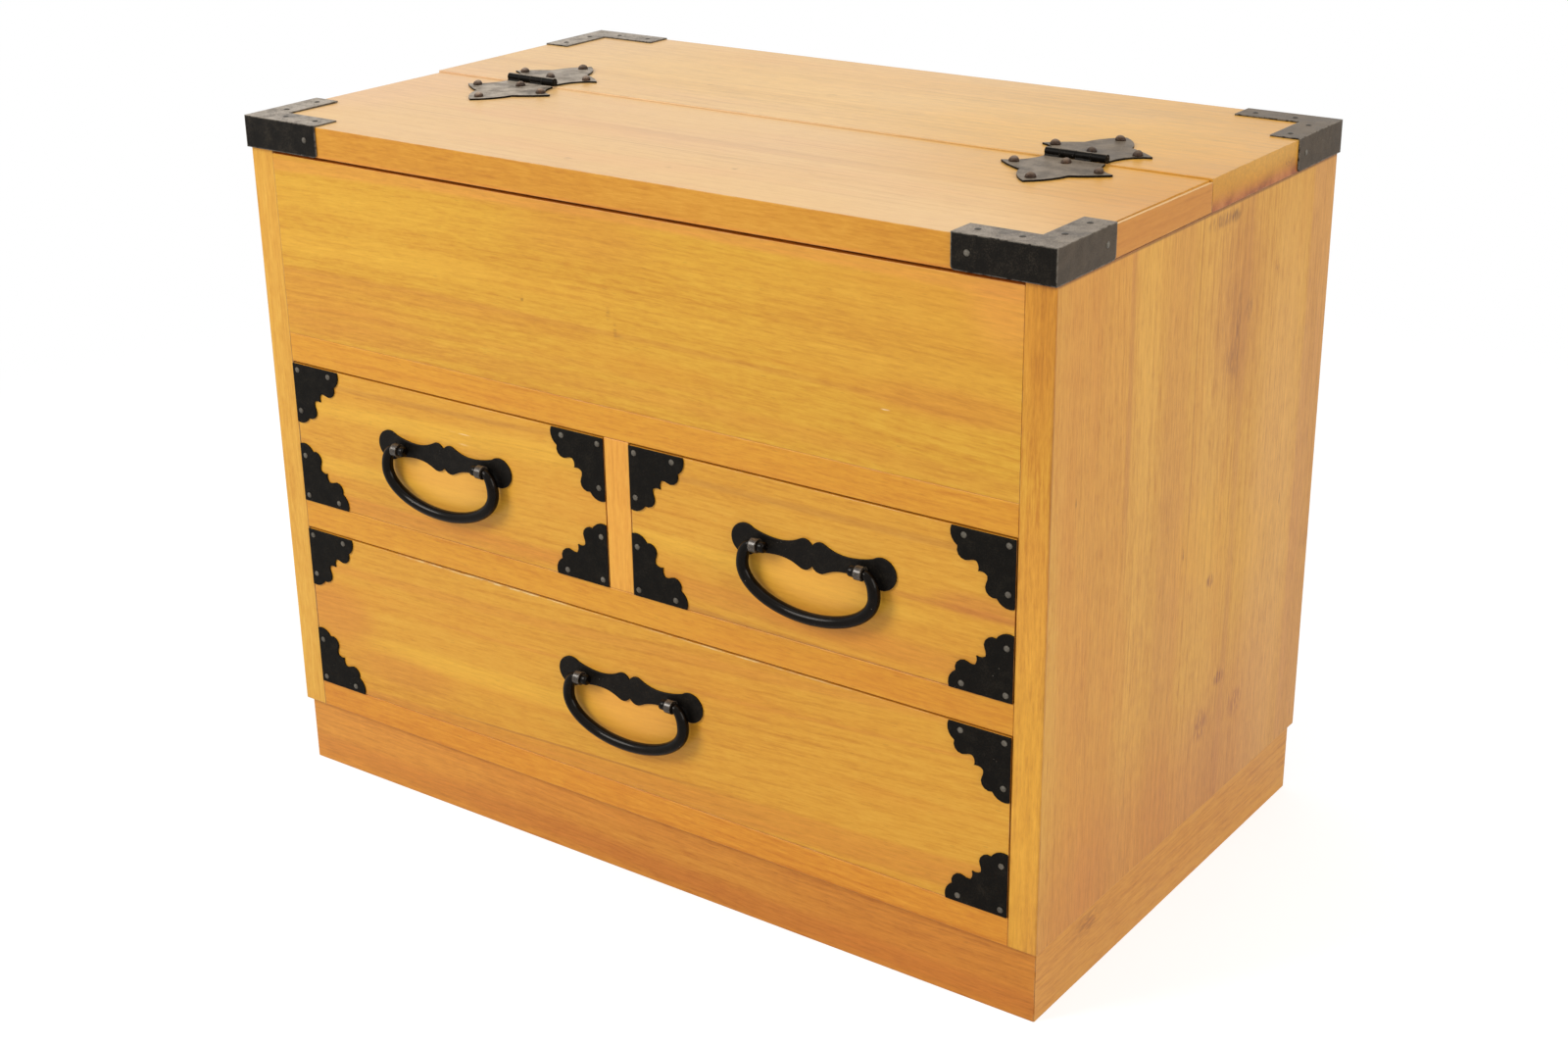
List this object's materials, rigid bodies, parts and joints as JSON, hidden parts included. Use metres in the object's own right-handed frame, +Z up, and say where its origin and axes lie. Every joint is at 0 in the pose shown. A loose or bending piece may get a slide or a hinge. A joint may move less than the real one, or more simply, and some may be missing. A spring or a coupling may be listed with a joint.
{
  "type": "tansu chest",
  "caption": "Low wooden tansu chest with a lift-up lid over an open compartment, small drawers over a wide drawer, a plinth and black iron corner fittings, hinges and swinging bail handles.",
  "frame": {"origin": "on the floor under the middle of the chest, measured over its whole width and its whole depth with bails and brackets", "axes": "+X to the right as seen from the front, +Y to the back, +Z up"},
  "size_m": [0.6032, 0.3702, 0.4742],
  "materials": {
    "varnished_wood": "satin clear amber varnish",
    "bare_wood": "planed, unvarnished",
    "black_iron": "black lacquered sheet iron, matt",
    "bail_iron": "black lacquered iron rod, glossy",
    "hinge_iron": "grey-black iron, satin",
    "worn_iron": "worn bare iron",
    "nail_iron": "brown domed iron nails",
    "tack_iron": "grey flat iron nails"
  },
  "bodies": {
    "cabinet": {"side_board_left": "varnished_wood", "side_board_right": "varnished_wood", "back_panel": "bare_wood", "bottom_rail": "varnished_wood", "mid_rail": "varnished_wood", "upper_rail": "varnished_wood", "bottom_board": "bare_wood", "dust_board": "bare_wood", "compartment_floor": "bare_wood", "drawer_divider": "varnished_wood", "front_panel": "varnished_wood", "plinth_front": "varnished_wood", "plinth_back": "varnished_wood", "plinth_left": "varnished_wood", "plinth_right": "varnished_wood", "lid_rear": "varnished_wood", "bracket_rear_left": "black_iron", "bracket_rear_right": "black_iron", "bracket_rear_nails": "tack_iron", "hinge_leaf_rear_left": "hinge_iron", "hinge_leaf_rear_right": "hinge_iron", "hinge_pins": "hinge_iron", "hinge_rear_nails": "nail_iron"},
    "flap": {"lid_flap": "varnished_wood", "flap_lippings": "varnished_wood", "bracket_front_left": "black_iron", "bracket_front_right": "black_iron", "bracket_front_nails": "tack_iron", "hinge_leaf_front_left": "hinge_iron", "hinge_leaf_front_right": "hinge_iron", "hinge_front_nails": "nail_iron"},
    "drawer_left": {"drawer_left_front": "varnished_wood", "drawer_left_sides": "bare_wood", "drawer_left_back": "bare_wood", "drawer_left_bottom": "bare_wood", "drawer_left_corners": "black_iron", "drawer_left_corner_nails": "tack_iron", "drawer_left_handle_plate": "black_iron", "drawer_left_eyes": "worn_iron"},
    "bail_left": {"drawer_left_bail": "bail_iron"},
    "drawer_right": {"drawer_right_front": "varnished_wood", "drawer_right_sides": "bare_wood", "drawer_right_back": "bare_wood", "drawer_right_bottom": "bare_wood", "drawer_right_corners": "black_iron", "drawer_right_corner_nails": "tack_iron", "drawer_right_handle_plate": "black_iron", "drawer_right_eyes": "worn_iron"},
    "bail_right": {"drawer_right_bail": "bail_iron"},
    "drawer_wide": {"drawer_wide_front": "varnished_wood", "drawer_wide_sides": "bare_wood", "drawer_wide_back": "bare_wood", "drawer_wide_bottom": "bare_wood", "drawer_wide_corners": "black_iron", "drawer_wide_corner_nails": "tack_iron", "drawer_wide_handle_plate": "black_iron", "drawer_wide_eyes": "worn_iron"},
    "bail_wide": {"drawer_wide_bail": "bail_iron"}
  },
  "joints": [
    {"name": "flap_hinge", "type": "hinge", "parent": "cabinet", "child": "flap", "pos_m": [0, 0.0036, 0.4716], "axis": [-1, 0, 0], "range_deg": [0, 165]},
    {"name": "drawer_left_slide", "type": "slide", "parent": "cabinet", "child": "drawer_left", "axis": [0, -1, 0], "range_m": [0, 0.27]},
    {"name": "drawer_right_slide", "type": "slide", "parent": "cabinet", "child": "drawer_right", "axis": [0, -1, 0], "range_m": [0, 0.27]},
    {"name": "drawer_wide_slide", "type": "slide", "parent": "cabinet", "child": "drawer_wide", "axis": [0, -1, 0], "range_m": [0, 0.27]},
    {"name": "bail_left_swing", "type": "hinge", "parent": "drawer_left", "child": "bail_left", "pos_m": [-0.14525, -0.1807, 0.263], "axis": [-1, 0, 0], "range_deg": [-3, 183]},
    {"name": "bail_right_swing", "type": "hinge", "parent": "drawer_right", "child": "bail_right", "pos_m": [0.14525, -0.1807, 0.263], "axis": [-1, 0, 0], "range_deg": [-3, 183]},
    {"name": "bail_wide_swing", "type": "hinge", "parent": "drawer_wide", "child": "bail_wide", "pos_m": [0.0033, -0.1807, 0.1384], "axis": [-1, 0, 0], "range_deg": [-3, 183]}
  ]
}
